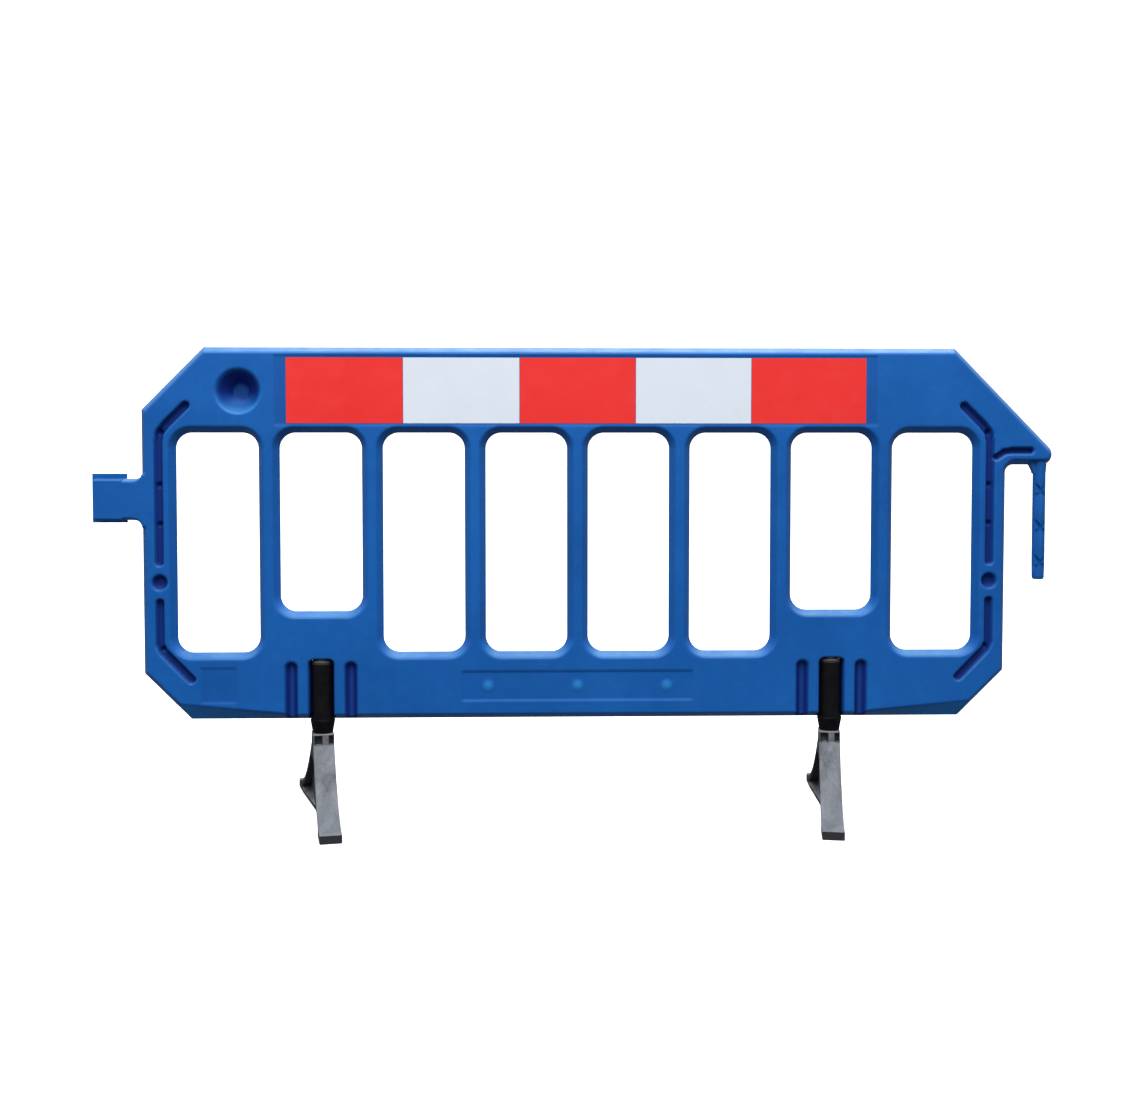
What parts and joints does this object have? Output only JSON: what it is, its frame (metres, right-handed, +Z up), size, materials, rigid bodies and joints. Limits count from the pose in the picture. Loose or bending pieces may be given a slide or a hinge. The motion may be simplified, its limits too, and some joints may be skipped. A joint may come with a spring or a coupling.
{
  "type": "crowd control barrier",
  "caption": "Blue hollow plastic pedestrian barrier with windows, a red and white reflective strip, pin and sleeve couplings at the ends and grey feet that swivel under the panel.",
  "frame": {"origin": "on the ground under the middle of the panel, which is within 6 mm of the middle of the overall length", "axes": "+X along the barrier toward the coupling pin, +Y toward the rear face, +Z up"},
  "size_m": [2.0699, 0.5027, 1],
  "materials": {
    "blue_polyethylene": "satin, fine moulded grain",
    "red_sheeting": "smooth reflective sheeting",
    "white_sheeting": "smooth reflective sheeting",
    "brass_insert": "machined",
    "zinc_plated_steel": "zinc plated",
    "black_nylon": "satin black",
    "recycled_rubber": "rough moulded, worn"
  },
  "bodies": {
    "barrier": {"panel": "blue_polyethylene", "coupling_pin": "blue_polyethylene", "front_field_1": "red_sheeting", "front_field_2": "white_sheeting", "front_field_3": "red_sheeting", "front_field_4": "white_sheeting", "front_field_5": "red_sheeting", "rear_field_1": "red_sheeting", "rear_field_2": "white_sheeting", "rear_field_3": "red_sheeting", "rear_field_4": "white_sheeting", "rear_field_5": "red_sheeting", "left_insert": "brass_insert", "right_insert": "brass_insert", "left_thrust_washer": "black_nylon", "right_thrust_washer": "black_nylon", "left_bolt": "zinc_plated_steel", "right_bolt": "zinc_plated_steel", "left_bolt_washer": "zinc_plated_steel", "right_bolt_washer": "zinc_plated_steel"},
    "left_foot_unit": {"left_post": "black_nylon", "left_foot": "recycled_rubber"},
    "right_foot_unit": {"right_post": "black_nylon", "right_foot": "recycled_rubber"}
  },
  "joints": [
    {"name": "left_foot_swivel", "type": "hinge", "parent": "barrier", "child": "left_foot_unit", "pos_m": [-0.54875, 0, 0.1], "axis": [0, 0, 1], "range_deg": [-102, 78]},
    {"name": "right_foot_swivel", "type": "hinge", "parent": "barrier", "child": "right_foot_unit", "pos_m": [0.54875, 0, 0.1], "axis": [0, 0, 1], "range_deg": [-80, 100]}
  ]
}
